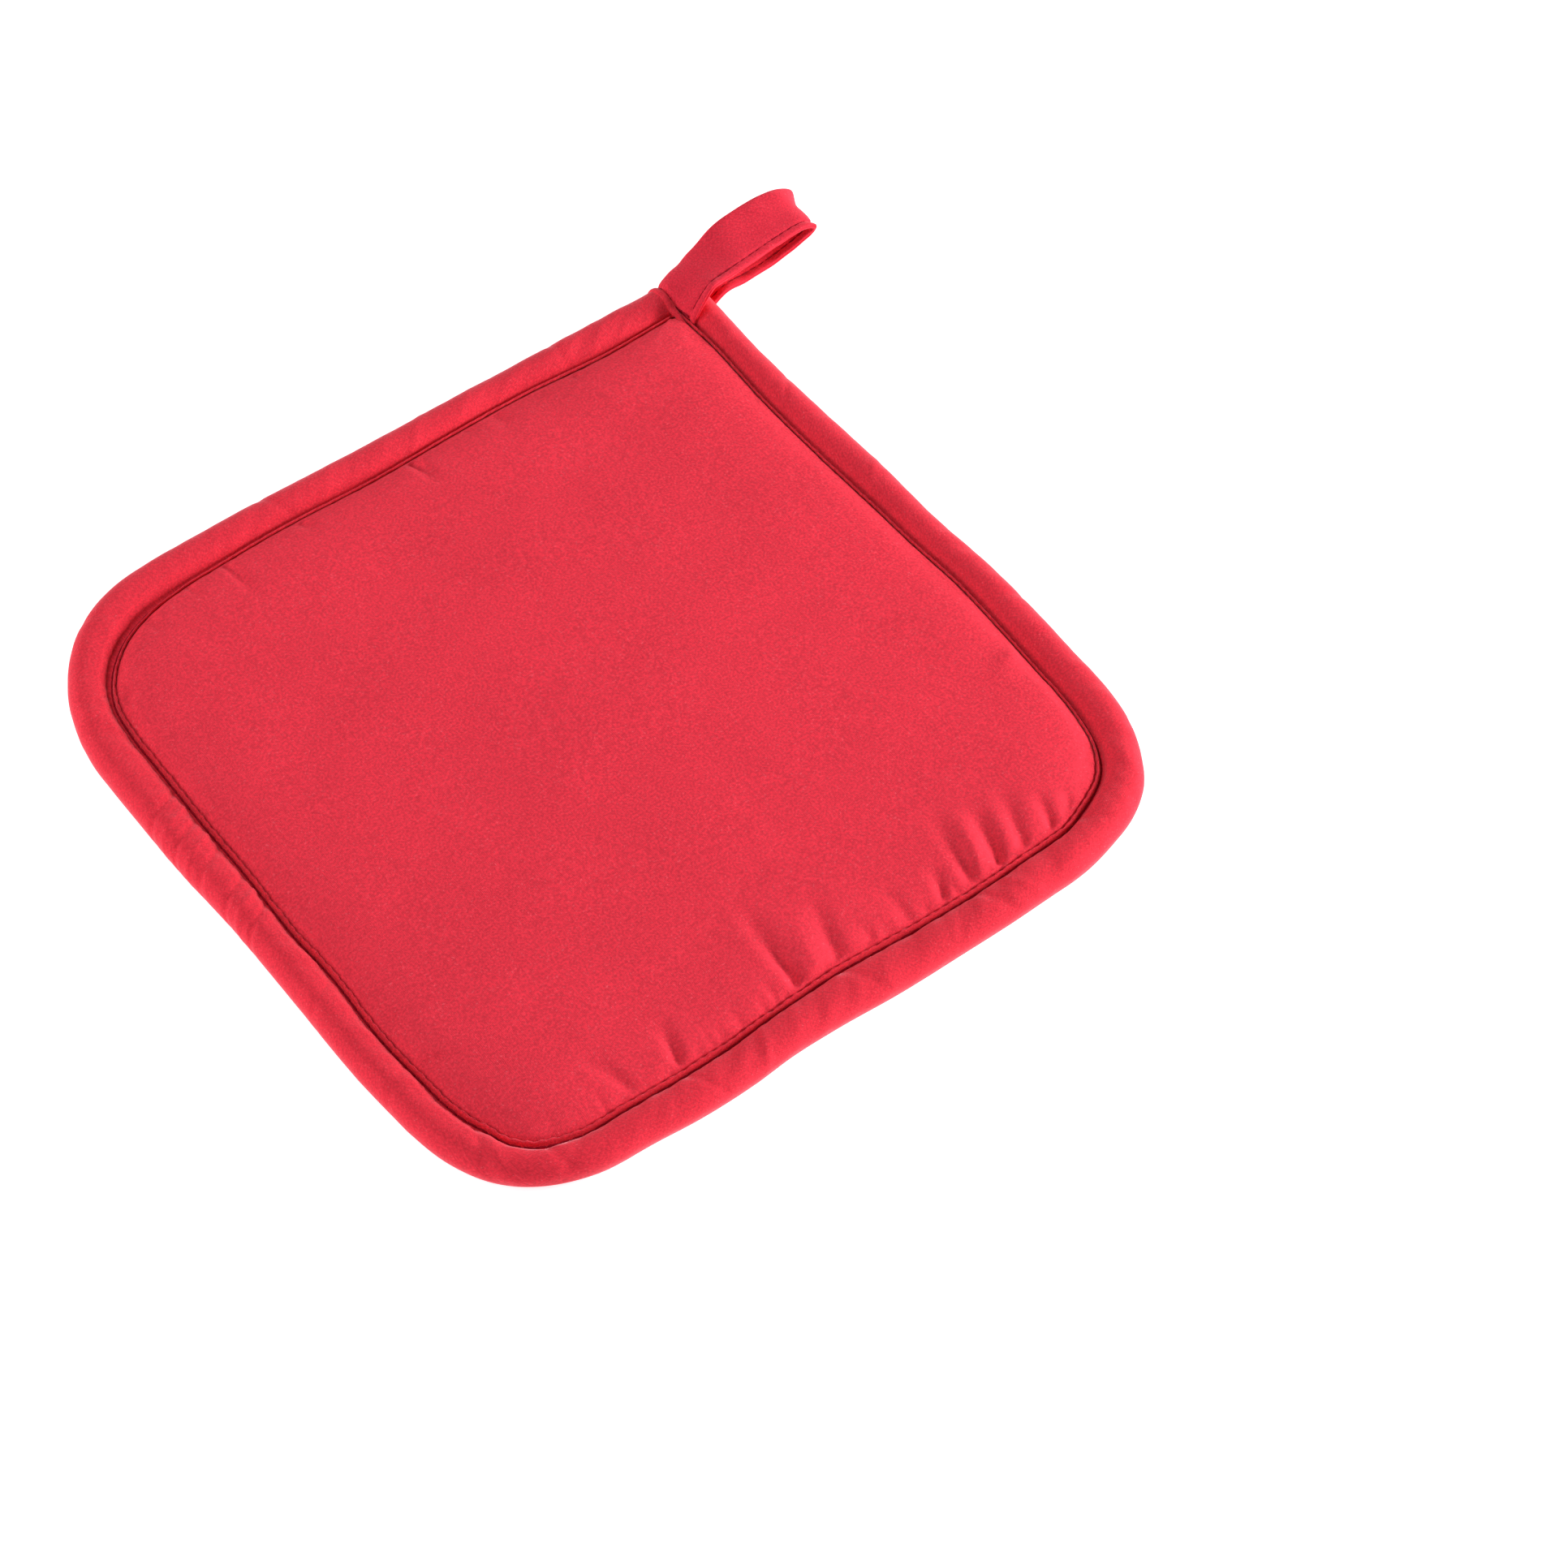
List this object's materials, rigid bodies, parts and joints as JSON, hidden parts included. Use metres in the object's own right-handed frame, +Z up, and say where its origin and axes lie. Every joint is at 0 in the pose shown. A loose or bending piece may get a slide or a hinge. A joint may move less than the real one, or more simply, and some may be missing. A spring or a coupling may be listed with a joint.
{
  "type": "pot holder",
  "caption": "Square padded pot holder: red cotton face, grey foam rubber back with an embossed grip, folded bias tape binding and a hanging loop at its sharp corner.",
  "frame": {"origin": "centre of the flat underside of the foam rubber back", "axes": "+Z up through the padded face; the sides run along X and Y; the loop leaves the corner at +X +Y"},
  "size_m": [0.2381, 0.2058, 0.0153],
  "materials": {
    "red_cotton": "matte plain weave cotton over wadding",
    "slate_foam_rubber": "matte foam rubber with an embossed grip pattern",
    "red_bias_tape": "matte plain weave cotton, cut on the bias",
    "red_loop_tape": "matte plain weave cotton tape, folded and stitched"
  },
  "bodies": {
    "root": {"front_panel": "red_cotton", "back_panel": "slate_foam_rubber", "binding": "red_bias_tape", "hanging_loop": "red_loop_tape"}
  },
  "joints": []
}
